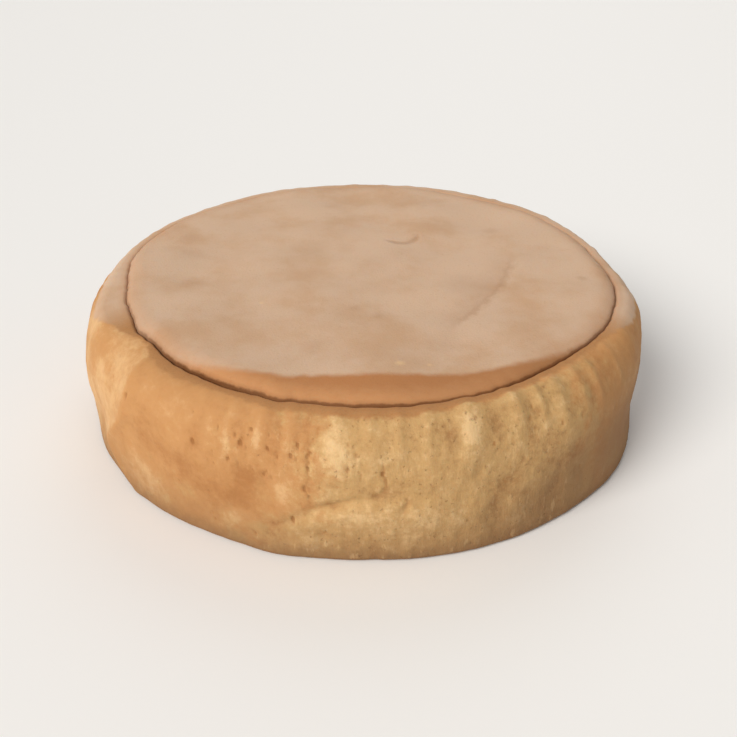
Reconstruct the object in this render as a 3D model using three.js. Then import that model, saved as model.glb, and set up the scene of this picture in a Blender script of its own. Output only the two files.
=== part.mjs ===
// Round sponge cake, baked in a round tin and turned out whole: a thin crust over a flat top disc,
// a rounded lip that folds down into a crease, a rolled and pleated rim outside it and a pale wall.
// Millimetres, +Z up, front towards -Y, origin under the middle of the cake at its flat bottom.
// Bearings are in degrees round from +X; angles are the same in radians.
import * as THREE from "three";

// Overall sizes
const TOP_HEIGHT = 50.3;
const BASE_RADIUS = 101.8;
const SHOULDER_RADIUS = 101.6;
const CREASE_RADIUS = 89.2;
const LIP_WIDTH = 6.5;
const LIP_TUCK = 1.08;
const CREASE_GAP = 1.1;
const CREASE_WALL = 1.5;
const RIM_DROP = 1.3;
const RIM_SWAY = 0.4;
const LEDGE_WIDTH = 0.8;
const LEDGE_STEP = 0.1;
const LEDGE_SAG = 0.035;
const ROLL_HEIGHT = 18.5;
const PLEAT_START = 0.3;
const BASE_EDGE = 1.8;

// Waves round the cake: whole waves a turn, cosine part, sine part
const OUTLINE_WAVES = [[2, -1.1, -0.3], [3, -0.2, -0.5], [4, -0.6, 0], [5, 0, -0.5]];
const CREASE_WAVES = [[2, 0, -1.1], [3, 0.4, 1.3], [9, 0.16, -0.25], [14, -0.09, -0.2]];

// Bells round the cake: bearing, half width in degrees, size
const OUTLINE_BELLS = [[146, 22, -1.4], [20, 24, -1.3], [80, 14, 0.6]];
const CREASE_BELLS = [
  [-168, 17, -2.7], [-149.5, 4, 0.9], [-141, 5, -1.0], [-119, 20, -2.0], [-106.8, 2, 0.8],
  [-69, 10, 0.9], [-47, 9, -0.3], [-25, 10, 1.5], [24, 22, -1.6], [138, 30, -2.2],
];
const DROP_BELLS = [[-122, 24, 2.1], [160, 34, 1.0], [8, 24, 1.1], [2, 12, 1.2]];
const GAP_BELLS = [[-128, 24, 0.9], [-174, 20, -0.45]];
const LEDGE_BELLS = [[-162, 13, 4.9], [-131, 9, 2.3], [-145, 4.5, -1.8], [-109, 6, 0.8]];

// The crease gets shallower round the back: how much, and where away from the front right
const BACK_SHALLOWER = 0.6;
const SHALLOW_FROM = -80;
const SHALLOW_START = 75;
const SHALLOW_END = 140;

// Top crust: wave height, the dome, dimples (x, y, radius, depth) and one long wrinkle
const TOP_WAVE = 0.16;
const TOP_WAVES = { seed: 771, count: 9, shortest: 24, spread: 44 };
const DOME_RISE = 0.35;
const DOME_SPREAD = 70;
const DIMPLES = [[16, 26, 6, 0.5], [-60, -13, 13, 0.35]];
const WRINKLE = {
  x: -63, y: 32.3, radius: 120.6, from: -44, to: -6, fade: 8, sink: 0.6, edge: 3, reach: 16,
};

// Wall: wave height, how much of it is left at the base, and the heights between which it grows
const WALL_WAVE = 0.17;
const WALL_WAVES = { seed: 4242, count: 12, fewest: 3, range: 19, climb: 34, climbRange: 70 };
const BASE_WAVE_SHARE = 0.4;
const WAVE_GROWS_FROM = 2;
const WAVE_GROWS_TO = 22;

// Pleats of the rim: bearing, half width in degrees, rise, height where they fade out
const FRONT_PLEATS = [
  [-113.6, 1.3, 0.3, 37], [-107.8, 1.4, 0.35, 37], [-102.6, 1.4, 0.3, 38], [-94.6, 2.0, 0.55, 33],
  [-88.8, 1.6, 0.45, 36], [-84.1, 1.1, 0.4, 37], [-79.3, 1.5, 0.5, 36], [-72.0, 2.2, 0.95, 35],
  [-63.3, 1.8, 0.8, 35], [-58.1, 1.1, 0.5, 37], [-53.9, 1.6, 0.7, 36], [-48.2, 1.5, 0.55, 37],
  [-43.8, 1.2, 0.45, 38],
];
const PLEAT_FADE = 5;
// More pleats round the back: least value and range of each draw
const BACK_PLEATS = {
  seed: 5150, from: -36, to: 205, apart: [4, 5], width: [1, 1.4], rise: [0.08, 0.22], foot: [31, 7],
};

// Upright folds and dents of the wall: bearing, half width in degrees, rise, height, half height
const WALL_DENTS = [
  [-163, 9, 0.7, 26, 8], [-163, 9, -0.6, 4, 7], [-150, 7, -0.8, 1, 6],
  [-106.5, 1.4, -0.4, 10, 5], [-98, 7, -0.5, 9.5, 1.8], [-88.3, 1.5, -0.45, 4, 5],
  [-84, 1.3, -0.3, 15, 6], [-73.2, 1.2, -0.35, 15, 7], [-71.2, 1.6, 0.3, 15, 7],
  [-67, 2.2, -0.9, 13, 9], [-64, 2.2, -0.7, 23, 4.5], [-60.5, 1.5, -0.4, 14, 7],
  [-55, 1.9, -0.55, 14, 8], [-47.5, 2.6, -0.5, 17, 9], [-20, 14, -1.3, 13, 10],
];

// A sagging groove across the front, highest at its crest bearing
const GROOVE_CREST = -83;
const GROOVE_HEIGHT = 24.9;
const GROOVE_LEFT_SAG = 0.028;
const GROOVE_RIGHT_SAG = 0.006;
// Its cut and swells: bearing, half width in degrees, rise, height over the groove, half height
const GROOVE_SWELLS = [
  [-84, 22, -0.35, 0, 2.3], [-96, 6, -0.85, 0, 2.3], [-94, 6, 0.5, -4.2, 2.2], [-92, 20, 0.8, -9, 6],
];

// A dented facet at the far left, behind a slanting ridge
const RIDGE_BEARING = -146;
const RIDGE_LEAN = 8;
const RIDGE_LEAN_LOW = 13;
const RIDGE_LEAN_HIGH = 33;
const RIDGE_CURL = 0.05;
const RIDGE_CURL_HEIGHT = 15;
const RIDGE_RISE = 0.9;
const RIDGE_HALF = 3;
const FACET_DENT = 1.6;
const FACET_EVEN_DENT = 0.2;
const FACET_HEIGHT = 11;
const FACET_HALF_HEIGHT = 12;
const FACET_MIDDLE = 14;
const FACET_HALF_WIDTH = 9;
// The ridge and its facet flatten out towards the base
const FACET_FADE_FROM = -6;
const FACET_FADE_TO = 8;

// Mesh counts: stations round the cake and rings down its profile
const STATIONS = 146;
const STATION_CROWDING = 0.62;
const STATION_CENTRE = -60;
const DISC_RINGS = 13;
const LIP_RINGS = 4;
const CREASE_RINGS = 3;
const ROLL_RINGS = 7;
const WALL_RINGS = 9;
const BASE_RINGS = 3;

// The draws: each state is a multiple of the last, modulo a prime
const DRAW_FACTOR = 48271;
const DRAW_PRIME = 2147483647;

const TURN = 2 * Math.PI;
const QUARTER = Math.PI / 2;
const rad = (degrees) => (degrees * Math.PI) / 180;
const DEGREE_ROUND = rad(SHOULDER_RADIUS);
const bump = (distance, width) => Math.exp(-((distance / width) ** 2));
const ramp = (value, from, to) => {
  const t = Math.min(1, Math.max(0, (value - from) / (to - from)));
  return t * t * (3 - 2 * t);
};

// Angle in degrees from a bearing to a station, between -180 and 180
function awayFrom(angle, bearing) {
  const turn = angle - rad(bearing);
  return (Math.atan2(Math.sin(turn), Math.cos(turn)) * 180) / Math.PI;
}

// The sum of the bells at an angle
function bellsAt(angle, rows) {
  return rows.reduce(
    (sum, [bearing, width, size]) => sum + size * bump(awayFrom(angle, bearing), width), 0,
  );
}

// The sum of the waves at an angle
function wavesAt(angle, rows) {
  return rows.reduce(
    (sum, [turns, even, odd]) => sum + even * Math.cos(turns * angle) + odd * Math.sin(turns * angle), 0,
  );
}

// The sum of the dents at an angle and a height
function dentsAt(angle, level, rows) {
  return rows.reduce((sum, [bearing, width, rise, height, tall]) => (
    sum + rise * bump(awayFrom(angle, bearing), width) * bump(level - height, tall)
  ), 0);
}

// Repeatable draws between 0 and 1
function drawer(seed) {
  let state = seed;
  return () => {
    state = (state * DRAW_FACTOR) % DRAW_PRIME;
    return state / DRAW_PRIME;
  };
}

// Soft swells of the top crust: plane waves with drawn directions, lengths and phases
function drawTopWaves({ seed, count, shortest, spread }) {
  const draw = drawer(seed);
  return Array.from({ length: count }, () => {
    const heading = TURN * draw();
    const length = shortest + spread * draw();
    const phase = TURN * draw();
    return { x: (TURN * Math.cos(heading)) / length, y: (TURN * Math.sin(heading)) / length, phase };
  });
}

// Soft swells of the wall: whole waves round the cake, each drifting with height
function drawWallWaves({ seed, count, fewest, range, climb, climbRange }) {
  const draw = drawer(seed);
  return Array.from({ length: count }, () => {
    const turns = fewest + Math.floor(range * draw());
    const rate = TURN / (climb + climbRange * draw());
    const phase = TURN * draw();
    return { turns, rate: draw() < 0.5 ? rate : -rate, phase };
  });
}

// More pleats from one bearing on to another, one every four to nine degrees
function drawPleats({ seed, from, to, apart, width, rise, foot }) {
  const draw = drawer(seed);
  const drawn = ([least, range]) => least + range * draw();
  const rows = [];
  for (let bearing = from; bearing < to; bearing += drawn(apart)) {
    rows.push([bearing, drawn(width), drawn(rise), drawn(foot)]);
  }
  return rows;
}

const topWaves = drawTopWaves(TOP_WAVES);
const wallWaves = drawWallWaves(WALL_WAVES);
const pleats = [...FRONT_PLEATS, ...drawPleats(BACK_PLEATS)];

// How far the rim lies below the top: most at the front left
const rimDrop = (angle) => RIM_DROP + bellsAt(angle, DROP_BELLS);

// How far the crease lies below the rim: most at the front left, little round the back
function creaseGap(angle) {
  const away = Math.abs(awayFrom(angle, SHALLOW_FROM));
  return CREASE_GAP + bellsAt(angle, GAP_BELLS) - BACK_SHALLOWER * ramp(away, SHALLOW_START, SHALLOW_END);
}

// Height of the top crust's relief at a point of the disc
function topRelief(x, y) {
  let height = DOME_RISE * bump(Math.hypot(x, y), DOME_SPREAD);
  for (const wave of topWaves) {
    height += TOP_WAVE * Math.sin(wave.x * x + wave.y * y + wave.phase);
  }
  for (const [middleX, middleY, radius, depth] of DIMPLES) {
    height -= depth * bump(Math.hypot(x - middleX, y - middleY), radius);
  }
  // The wrinkle is an arc of a wide circle, with its inner side sunk
  const { from, to, fade, sink, edge, reach } = WRINKLE;
  const along = (Math.atan2(y - WRINKLE.y, x - WRINKLE.x) * 180) / Math.PI;
  const across = Math.hypot(x - WRINKLE.x, y - WRINKLE.y) - WRINKLE.radius;
  const length = ramp(along, from, from + fade) * (1 - ramp(along, to - fade, to));
  return height - sink * length * ramp(across, edge, -edge) * bump(Math.min(across, 0), reach);
}

// How far the rim's pleats stand out at an angle and a height
function pleatRelief(angle, z) {
  return pleats.reduce((sum, [bearing, width, rise, foot]) => (
    sum + rise * bump(awayFrom(angle, bearing), width) * ramp(z, foot - PLEAT_FADE, foot + PLEAT_FADE)
  ), 0);
}

// The ridge leans back with height, then stands; near the base it curls the other way. The facet
// to its left is dented. Gives the outward relief of both.
function facetRelief(angle, z) {
  const lean = RIDGE_LEAN * ramp(z, RIDGE_LEAN_LOW, RIDGE_LEAN_HIGH);
  const curl = RIDGE_CURL * Math.min(z - RIDGE_CURL_HEIGHT, 0) ** 2;
  const past = DEGREE_ROUND * (lean + curl - awayFrom(angle, RIDGE_BEARING));
  const depth = FACET_EVEN_DENT + FACET_DENT * bump(z - FACET_HEIGHT, FACET_HALF_HEIGHT);
  return RIDGE_RISE * bump(past, RIDGE_HALF) - depth * bump(past - FACET_MIDDLE, FACET_HALF_WIDTH);
}

// Outward relief of the wall: swells, dents, the groove, and the facet behind its ridge
function wallRelief(angle, z) {
  let out = 0;
  for (const { turns, rate, phase } of wallWaves) {
    out += WALL_WAVE * Math.sin(turns * angle + rate * z + phase);
  }
  out *= BASE_WAVE_SHARE + (1 - BASE_WAVE_SHARE) * ramp(z, WAVE_GROWS_FROM, WAVE_GROWS_TO);
  const right = awayFrom(angle, GROOVE_CREST);
  const sag = GROOVE_LEFT_SAG * Math.min(right, 0) ** 2 + GROOVE_RIGHT_SAG * Math.max(right, 0) ** 2;
  out += dentsAt(angle, z, WALL_DENTS) + dentsAt(angle, z - GROOVE_HEIGHT + sag, GROOVE_SWELLS);
  return out + facetRelief(angle, z) * ramp(z, FACET_FADE_FROM, FACET_FADE_TO);
}

// Stations crowd together round the pleats at the front right
function stationAngle(index) {
  const turn = (TURN * index) / STATIONS;
  return rad(STATION_CENTRE) + turn - STATION_CROWDING * Math.sin(turn);
}

// The profile at one bearing, from next to the middle of the top to the edge of the flat bottom
function profileAt(angle) {
  const points = [];
  const crease = CREASE_RADIUS + wavesAt(angle, CREASE_WAVES) + bellsAt(angle, CREASE_BELLS);
  const discEdge = crease - LIP_WIDTH;
  const topAt = (radius) => (
    TOP_HEIGHT + topRelief(radius * Math.cos(angle), radius * Math.sin(angle))
  );
  for (let ring = 1; ring <= DISC_RINGS; ring += 1) {
    const radius = (discEdge * ring) / DISC_RINGS;
    points.push([radius, topAt(radius)]);
  }
  // Lip: a little over a quarter of an ellipse, down into the crease
  const lipTop = topAt(discEdge);
  const rimLevel = TOP_HEIGHT - rimDrop(angle);
  const lipDrop = lipTop - rimLevel + creaseGap(angle);
  for (let ring = 1; ring <= LIP_RINGS; ring += 1) {
    const bend = LIP_TUCK * QUARTER * (ring / LIP_RINGS);
    points.push([discEdge + LIP_WIDTH * Math.sin(bend), lipTop - lipDrop * (1 - Math.cos(bend))]);
  }
  // Outer side of the crease: rises upright and bends over to the ledge
  const [footRadius, footHeight] = points[points.length - 1];
  const rimTop = rimLevel + RIM_SWAY * pleatRelief(angle, TOP_HEIGHT);
  for (let ring = 1; ring <= CREASE_RINGS; ring += 1) {
    const bend = QUARTER * (ring / CREASE_RINGS);
    points.push([
      footRadius + (crease + CREASE_WALL - footRadius) * (1 - Math.cos(bend)),
      footHeight + (rimTop - footHeight) * Math.sin(bend),
    ]);
  }
  // Roll: a quarter of an ellipse from the ledge down to the wall
  const ledgeWidth = LEDGE_WIDTH + bellsAt(angle, LEDGE_BELLS);
  const ledge = crease + CREASE_WALL + ledgeWidth;
  const outline = wavesAt(angle, OUTLINE_WAVES) + bellsAt(angle, OUTLINE_BELLS);
  const shoulder = SHOULDER_RADIUS + outline;
  const ledgeTop = rimTop - LEDGE_STEP - LEDGE_SAG * ledgeWidth ** 2;
  for (let ring = 0; ring <= ROLL_RINGS; ring += 1) {
    const bend = QUARTER * (ring / ROLL_RINGS);
    const z = ledgeTop - ROLL_HEIGHT * (1 - Math.cos(bend));
    const pleat = pleatRelief(angle, z);
    points.push([
      ledge + (shoulder - ledge + wallRelief(angle, z) + pleat) * Math.sin(bend),
      z + pleat * Math.cos(bend) * ramp(bend, 0, PLEAT_START),
    ]);
  }
  // Wall, drawn in slightly towards the base
  const wallTop = ledgeTop - ROLL_HEIGHT;
  for (let ring = 1; ring <= WALL_RINGS; ring += 1) {
    const share = ring / WALL_RINGS;
    const z = wallTop + (BASE_EDGE - wallTop) * share;
    const radius = shoulder + (BASE_RADIUS - SHOULDER_RADIUS) * share;
    points.push([radius + wallRelief(angle, z) + pleatRelief(angle, z), z]);
  }
  // Rounded base edge
  const foot = points[points.length - 1][0];
  for (let ring = 1; ring <= BASE_RINGS; ring += 1) {
    const bend = QUARTER * (ring / BASE_RINGS);
    points.push([foot - BASE_EDGE * (1 - Math.cos(bend)), BASE_EDGE * (1 - Math.sin(bend))]);
  }
  return points;
}

// One closed skin: rings of stations joined in quads, with a pole at the top and at the bottom
function buildCake() {
  const profiles = [];
  for (let station = 0; station < STATIONS; station += 1) {
    const angle = stationAngle(station);
    profiles.push(profileAt(angle).map(([radius, z]) => [
      radius * Math.cos(angle), radius * Math.sin(angle), z,
    ]));
  }
  const rings = profiles[0].length;
  const positions = [0, 0, TOP_HEIGHT + topRelief(0, 0)];
  for (let ring = 0; ring < rings; ring += 1) {
    for (const profile of profiles) {
      positions.push(...profile[ring]);
    }
  }
  positions.push(0, 0, 0);
  const at = (ring, station) => 1 + ring * STATIONS + (station % STATIONS);
  const bottom = 1 + rings * STATIONS;
  const faces = [];
  for (let station = 0; station < STATIONS; station += 1) {
    faces.push(0, at(0, station), at(0, station + 1));
    faces.push(bottom, at(rings - 1, station + 1), at(rings - 1, station));
    for (let ring = 0; ring + 1 < rings; ring += 1) {
      const [a, b] = [at(ring, station), at(ring, station + 1)];
      const [c, d] = [at(ring + 1, station + 1), at(ring + 1, station)];
      faces.push(a, d, c, a, c, b);
    }
  }
  const geometry = new THREE.BufferGeometry();
  geometry.setAttribute("position", new THREE.Float32BufferAttribute(positions, 3));
  geometry.setIndex(faces);
  // Put the origin under the middle of the outline
  geometry.computeBoundingBox();
  const { min, max } = geometry.boundingBox;
  geometry.translate(-(min.x + max.x) / 2, -(min.y + max.y) / 2, 0);
  geometry.computeVertexNormals();
  return geometry;
}

const sponge = new THREE.MeshStandardMaterial({ color: 0xd9a56e, roughness: 0.85, metalness: 0 });
const cake = new THREE.Mesh(buildCake(), sponge);
cake.name = "sponge_cake";

const group = new THREE.Group();
group.name = "sponge_cake_whole";
group.add(cake);

export default group;
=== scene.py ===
import math

import bpy
import numpy as np
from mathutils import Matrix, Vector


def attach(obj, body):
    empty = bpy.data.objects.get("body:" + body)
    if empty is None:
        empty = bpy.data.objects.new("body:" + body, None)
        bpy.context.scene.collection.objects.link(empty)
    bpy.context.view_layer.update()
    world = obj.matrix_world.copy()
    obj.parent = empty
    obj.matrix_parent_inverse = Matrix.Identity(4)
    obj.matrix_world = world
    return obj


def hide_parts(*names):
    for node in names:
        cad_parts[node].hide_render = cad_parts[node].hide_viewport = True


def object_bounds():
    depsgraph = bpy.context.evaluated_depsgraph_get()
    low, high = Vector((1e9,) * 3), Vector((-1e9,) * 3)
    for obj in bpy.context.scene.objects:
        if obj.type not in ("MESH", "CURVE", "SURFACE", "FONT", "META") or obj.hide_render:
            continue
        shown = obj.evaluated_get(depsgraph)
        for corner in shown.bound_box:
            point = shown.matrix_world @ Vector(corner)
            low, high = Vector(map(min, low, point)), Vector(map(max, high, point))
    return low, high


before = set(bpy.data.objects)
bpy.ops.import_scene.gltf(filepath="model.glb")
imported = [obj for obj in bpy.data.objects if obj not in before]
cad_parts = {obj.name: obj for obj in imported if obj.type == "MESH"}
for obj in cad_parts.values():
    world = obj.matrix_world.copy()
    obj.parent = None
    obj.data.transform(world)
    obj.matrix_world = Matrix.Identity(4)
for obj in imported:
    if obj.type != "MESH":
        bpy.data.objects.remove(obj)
cad_box = [list(corner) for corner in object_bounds()]
scene = bpy.context.scene
scene.view_settings.view_transform = "Standard"


# ---------------------------------------------------------------------------------------------
# Camera: the photograph's viewing angle, held close in front of the cake and a little above it,
# looking down on its front.
# ---------------------------------------------------------------------------------------------
CAMERA_PLACE = (0.00152, -0.31971, 0.19715)
CAMERA_DOWN = 30.69
CAMERA_SENSOR = 36.0
CAMERA_NEAR = 0.01
FOCAL_PIXELS = 957.0
PHOTO_PIXELS = 737.0

camera_data = bpy.data.cameras.new("camera")
camera_data.sensor_width = CAMERA_SENSOR
camera_data.lens = CAMERA_SENSOR * FOCAL_PIXELS / PHOTO_PIXELS
camera_data.clip_start = CAMERA_NEAR
camera = bpy.data.objects.new("camera", camera_data)
camera.location = CAMERA_PLACE
camera.rotation_euler = (math.radians(90.0 - CAMERA_DOWN), 0.0, 0.0)
scene.collection.objects.link(camera)
scene.camera = camera


# ---------------------------------------------------------------------------------------------
# Light: a white room, soft broad light from in front of the cake and to its left, and a weak
# light from behind, so that the back isn't left dark.
# ---------------------------------------------------------------------------------------------
ROOM_LIGHT = 0.37
ROOM_WHITE = (1.0, 0.99, 0.97, 1.0)
# Each light: name, bearing, elevation and spread in degrees, strength, colour
LIGHTS = (
    ("window", -134.0, 38.0, 34.0, 2.60, (1.0, 0.975, 0.94)),
    ("back_light", 80.0, 40.0, 40.0, 0.45, (1.0, 1.0, 1.0)),
)


def distant_light(name, bearing, elevation, spread, strength, colour):
    """Even light from a bearing and elevation, softened over a spread, all in degrees."""
    lamp = bpy.data.lights.new(name, "SUN")
    lamp.angle = math.radians(spread)
    lamp.energy = strength
    lamp.color = colour
    holder = bpy.data.objects.new(name, lamp)
    turn, rise = math.radians(bearing), math.radians(elevation)
    holder.rotation_euler = (math.pi / 2 - rise, 0.0, turn + math.pi / 2)
    scene.collection.objects.link(holder)


for light in LIGHTS:
    distant_light(*light)

world = bpy.data.worlds.new("room")
world.use_nodes = True
world.node_tree.nodes["Background"].inputs["Color"].default_value = ROOM_WHITE
world.node_tree.nodes["Background"].inputs["Strength"].default_value = ROOM_LIGHT
scene.world = world


# ---------------------------------------------------------------------------------------------
# Table top: a plain pale surface that carries the cake and fills the picture behind it.
# ---------------------------------------------------------------------------------------------
TABLE_HALF = 6.0
TABLE_COLOUR = (0.90, 0.888, 0.870, 1.0)
TABLE_ROUGHNESS = 0.6
TABLE_SHINE = 0.2

table_mesh = bpy.data.meshes.new("table_top")
table_corners = [(x * TABLE_HALF, y * TABLE_HALF, 0.0) for x, y in ((-1, -1), (1, -1), (1, 1), (-1, 1))]
table_mesh.from_pydata(table_corners, [], [(0, 1, 2, 3)])
table = bpy.data.objects.new("table_top", table_mesh)
scene.collection.objects.link(table)
table_paint = bpy.data.materials.new("pale_table")
table_paint.use_nodes = True
table_shader = table_paint.node_tree.nodes["Principled BSDF"]
table_shader.inputs["Base Color"].default_value = TABLE_COLOUR
table_shader.inputs["Roughness"].default_value = TABLE_ROUGHNESS
table_shader.inputs["Specular IOR Level"].default_value = TABLE_SHINE
table_mesh.materials.append(table_paint)


# ---------------------------------------------------------------------------------------------
# The cake: one round sponge, baked whole in a tin. A thin golden crust covers its flat top, whose
# rounded lip folds down into a crease. Outside the crease a rim rolls over to the wall, where the
# paper came away: part smooth tan skin, part open yellow crumb.
# Sizes in millimetres, angles in radians from +X with the front towards -Y, bearings in degrees.
# ---------------------------------------------------------------------------------------------
TOP_HEIGHT = 50.3
BASE_RADIUS = 101.8
SHOULDER_RADIUS = 101.6
CREASE_RADIUS = 89.2
LIP_WIDTH = 6.5
LIP_TUCK = 1.08
CREASE_GAP = 1.1
CREASE_WALL = 1.5
RIM_DROP = 1.3
RIM_SWAY = 0.4
LEDGE_WIDTH = 0.8
LEDGE_STEP = 0.1
LEDGE_SAG = 0.035
ROLL_HEIGHT = 18.5
PLEAT_START = 0.3
BASE_EDGE = 1.8

# Waves round the cake: whole waves a turn, cosine part, sine part
OUTLINE_WAVES = ((2, -1.1, -0.3), (3, -0.2, -0.5), (4, -0.6, 0), (5, 0, -0.5))
CREASE_WAVES = ((2, 0, -1.1), (3, 0.4, 1.3), (9, 0.16, -0.25), (14, -0.09, -0.2))

# Bells round the cake: bearing, half width in degrees, size
OUTLINE_BELLS = ((146, 22, -1.4), (20, 24, -1.3), (80, 14, 0.6))
CREASE_BELLS = (
    (-168, 17, -2.7), (-149.5, 4, 0.9), (-141, 5, -1.0), (-119, 20, -2.0), (-106.8, 2, 0.8),
    (-69, 10, 0.9), (-47, 9, -0.3), (-25, 10, 1.5), (24, 22, -1.6), (138, 30, -2.2),
)
DROP_BELLS = ((-122, 24, 2.1), (160, 34, 1.0), (8, 24, 1.1), (2, 12, 1.2))
GAP_BELLS = ((-128, 24, 0.9), (-174, 20, -0.45))
LEDGE_BELLS = ((-162, 13, 4.9), (-131, 9, 2.3), (-145, 4.5, -1.8), (-109, 6, 0.8))

# The crease gets shallower round the back: how much, and where away from the front right
BACK_SHALLOWER = 0.6
SHALLOW_FROM = -80
SHALLOW_START = 75
SHALLOW_END = 140

# Top crust: wave height, the dome, dimples (x, y, radius, depth) and one long wrinkle
TOP_WAVE = 0.16
TOP_WAVES = {"seed": 771, "count": 9, "length": (24.0, 44.0)}
DOME_RISE = 0.35
DOME_SPREAD = 70
DIMPLES = ((16, 26, 6, 0.5), (-60, -13, 13, 0.35))
WRINKLE_MIDDLE = (-63.0, 32.3)
WRINKLE_RADIUS = 120.6
WRINKLE_FROM = -44
WRINKLE_TO = -6
WRINKLE_FADE = 8
WRINKLE_SINK = 0.6
WRINKLE_EDGE = 3
WRINKLE_REACH = 16

# Wall: wave height, how much of it is left at the base, and the heights between which it grows
WALL_WAVE = 0.17
WALL_WAVES = {"seed": 4242, "count": 12, "turns": (3, 19), "climb": (34.0, 70.0)}
BASE_WAVE_SHARE = 0.4
WAVE_GROWS_FROM = 2
WAVE_GROWS_TO = 22

# Pleats of the rim: bearing, half width in degrees, rise, height where they fade out
FRONT_PLEATS = (
    (-113.6, 1.3, 0.3, 37), (-107.8, 1.4, 0.35, 37), (-102.6, 1.4, 0.3, 38), (-94.6, 2.0, 0.55, 33),
    (-88.8, 1.6, 0.45, 36), (-84.1, 1.1, 0.4, 37), (-79.3, 1.5, 0.5, 36), (-72.0, 2.2, 0.95, 35),
    (-63.3, 1.8, 0.8, 35), (-58.1, 1.1, 0.5, 37), (-53.9, 1.6, 0.7, 36), (-48.2, 1.5, 0.55, 37),
    (-43.8, 1.2, 0.45, 38),
)
PLEAT_FADE = 5
# More pleats round the back: least value and range of each draw
BACK_PLEATS = {
    "seed": 5150, "first": -36, "last": 205, "apart": (4.0, 5.0), "width": (1.0, 1.4),
    "rise": (0.08, 0.22), "foot": (31, 7),
}

# Upright folds and dents of the wall: bearing, half width in degrees, rise, height, half height
WALL_DENTS = (
    (-163, 9, 0.7, 26, 8), (-163, 9, -0.6, 4, 7), (-150, 7, -0.8, 1, 6),
    (-106.5, 1.4, -0.4, 10, 5), (-98, 7, -0.5, 9.5, 1.8), (-88.3, 1.5, -0.45, 4, 5),
    (-84, 1.3, -0.3, 15, 6), (-73.2, 1.2, -0.35, 15, 7), (-71.2, 1.6, 0.3, 15, 7),
    (-67, 2.2, -0.9, 13, 9), (-64, 2.2, -0.7, 23, 4.5), (-60.5, 1.5, -0.4, 14, 7),
    (-55, 1.9, -0.55, 14, 8), (-47.5, 2.6, -0.5, 17, 9), (-20, 14, -1.3, 13, 10),
)

# A sagging groove across the front, highest at its crest bearing
GROOVE_CREST = -83
GROOVE_HEIGHT = 24.9
GROOVE_LEFT_SAG = 0.028
GROOVE_RIGHT_SAG = 0.006
# Its cut and swells: bearing, half width in degrees, rise, height over the groove, half height
GROOVE_SWELLS = (
    (-84, 22, -0.35, 0, 2.3), (-96, 6, -0.85, 0, 2.3), (-94, 6, 0.5, -4.2, 2.2), (-92, 20, 0.8, -9, 6),
)

# A dented facet at the far left, behind a slanting ridge
RIDGE_BEARING = -146
RIDGE_LEAN = 8
RIDGE_LEAN_LOW = 13
RIDGE_LEAN_HIGH = 33
RIDGE_CURL = 0.05
RIDGE_CURL_HEIGHT = 15
RIDGE_RISE = 0.9
RIDGE_HALF = 3
FACET_DENT = 1.6
FACET_EVEN_DENT = 0.2
FACET_HEIGHT = 11
FACET_HALF_HEIGHT = 12
FACET_MIDDLE = 14
FACET_HALF_WIDTH = 9
# The ridge and its facet flatten out towards the base
FACET_FADE_FROM = -6
FACET_FADE_TO = 8

# The finished crease is a little more open than the solid's, so that light reaches its foot: how
# much of its outer side is a straight slope, and how much of its depth below the rim is kept
CREASE_LEAN = 0.5
CREASE_DEPTH_SHARE = 0.8

# Mesh counts: stations round the cake, crowded at the front, and rings down its profile
STATIONS = 740
STATION_CROWDING = 0.45
STATION_CENTRE = -95
DISC_RINGS = 26
LIP_RINGS = 9
CREASE_RINGS = 5
ROLL_RINGS = 36
WALL_RINGS = 48
BASE_RINGS = 4
BOTTOM_RINGS = 2

# The draws: each state is a multiple of the last, modulo a prime that is also a mask of 31 bits
DRAW_FACTOR = 48271
DRAW_PRIME = 2147483647

TURN = 2.0 * np.pi
QUARTER = 0.5 * np.pi
DEGREE_ROUND = math.radians(SHOULDER_RADIUS)


def bump(distance, width):
    """A bell: e to the minus square of distance over width."""
    return np.exp(-((distance / width) ** 2))


def ramp(value, start, end):
    """A smooth step: 0 at start, 1 at end, the cubic 3tt - 2ttt between."""
    share = np.clip((value - start) / (end - start), 0.0, 1.0)
    return share * share * (3.0 - 2.0 * share)


def away_from(angle, bearing):
    """Degrees from a bearing to an angle, wrapped to plus and minus 180."""
    turn = angle - np.radians(bearing)
    return np.degrees(np.arctan2(np.sin(turn), np.cos(turn)))


def bells_at(angle, rows):
    """The sum of the rows' bells, each its size times bump(away from its bearing, half width)."""
    return sum(size * bump(away_from(angle, bearing), width) for bearing, width, size in rows)


def waves_at(angle, rows):
    """The sum of the rows' waves, each even cos(turns angle) + odd sin(turns angle)."""
    return sum(even * np.cos(turns * angle) + odd * np.sin(turns * angle) for turns, even, odd in rows)


def dents_at(angle, level, rows):
    """The sum of the rows' dents, each its rise times a bell round and a bell up."""
    return sum(
        rise * bump(away_from(angle, bearing), width) * bump(level - height, tall)
        for bearing, width, rise, height, tall in rows
    )


def drawer(seed):
    """Repeatable draws between 0 and 1: each state is the factor times the last, modulo the prime."""
    state = seed
    while True:
        state = (state * DRAW_FACTOR) % DRAW_PRIME
        yield state / DRAW_PRIME


def drawn(draw, span):
    """The next draw within a span, which is its least value and its range."""
    least, reach = span
    return least + reach * next(draw)


def draw_top_waves(seed, count, length):
    """Plane waves across the top: (x rate, y rate, phase)."""
    draw = drawer(seed)
    waves = []
    for _ in range(count):
        heading = TURN * next(draw)
        rate = TURN / drawn(draw, length)
        waves.append((rate * math.cos(heading), rate * math.sin(heading), TURN * next(draw)))
    return waves


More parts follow.
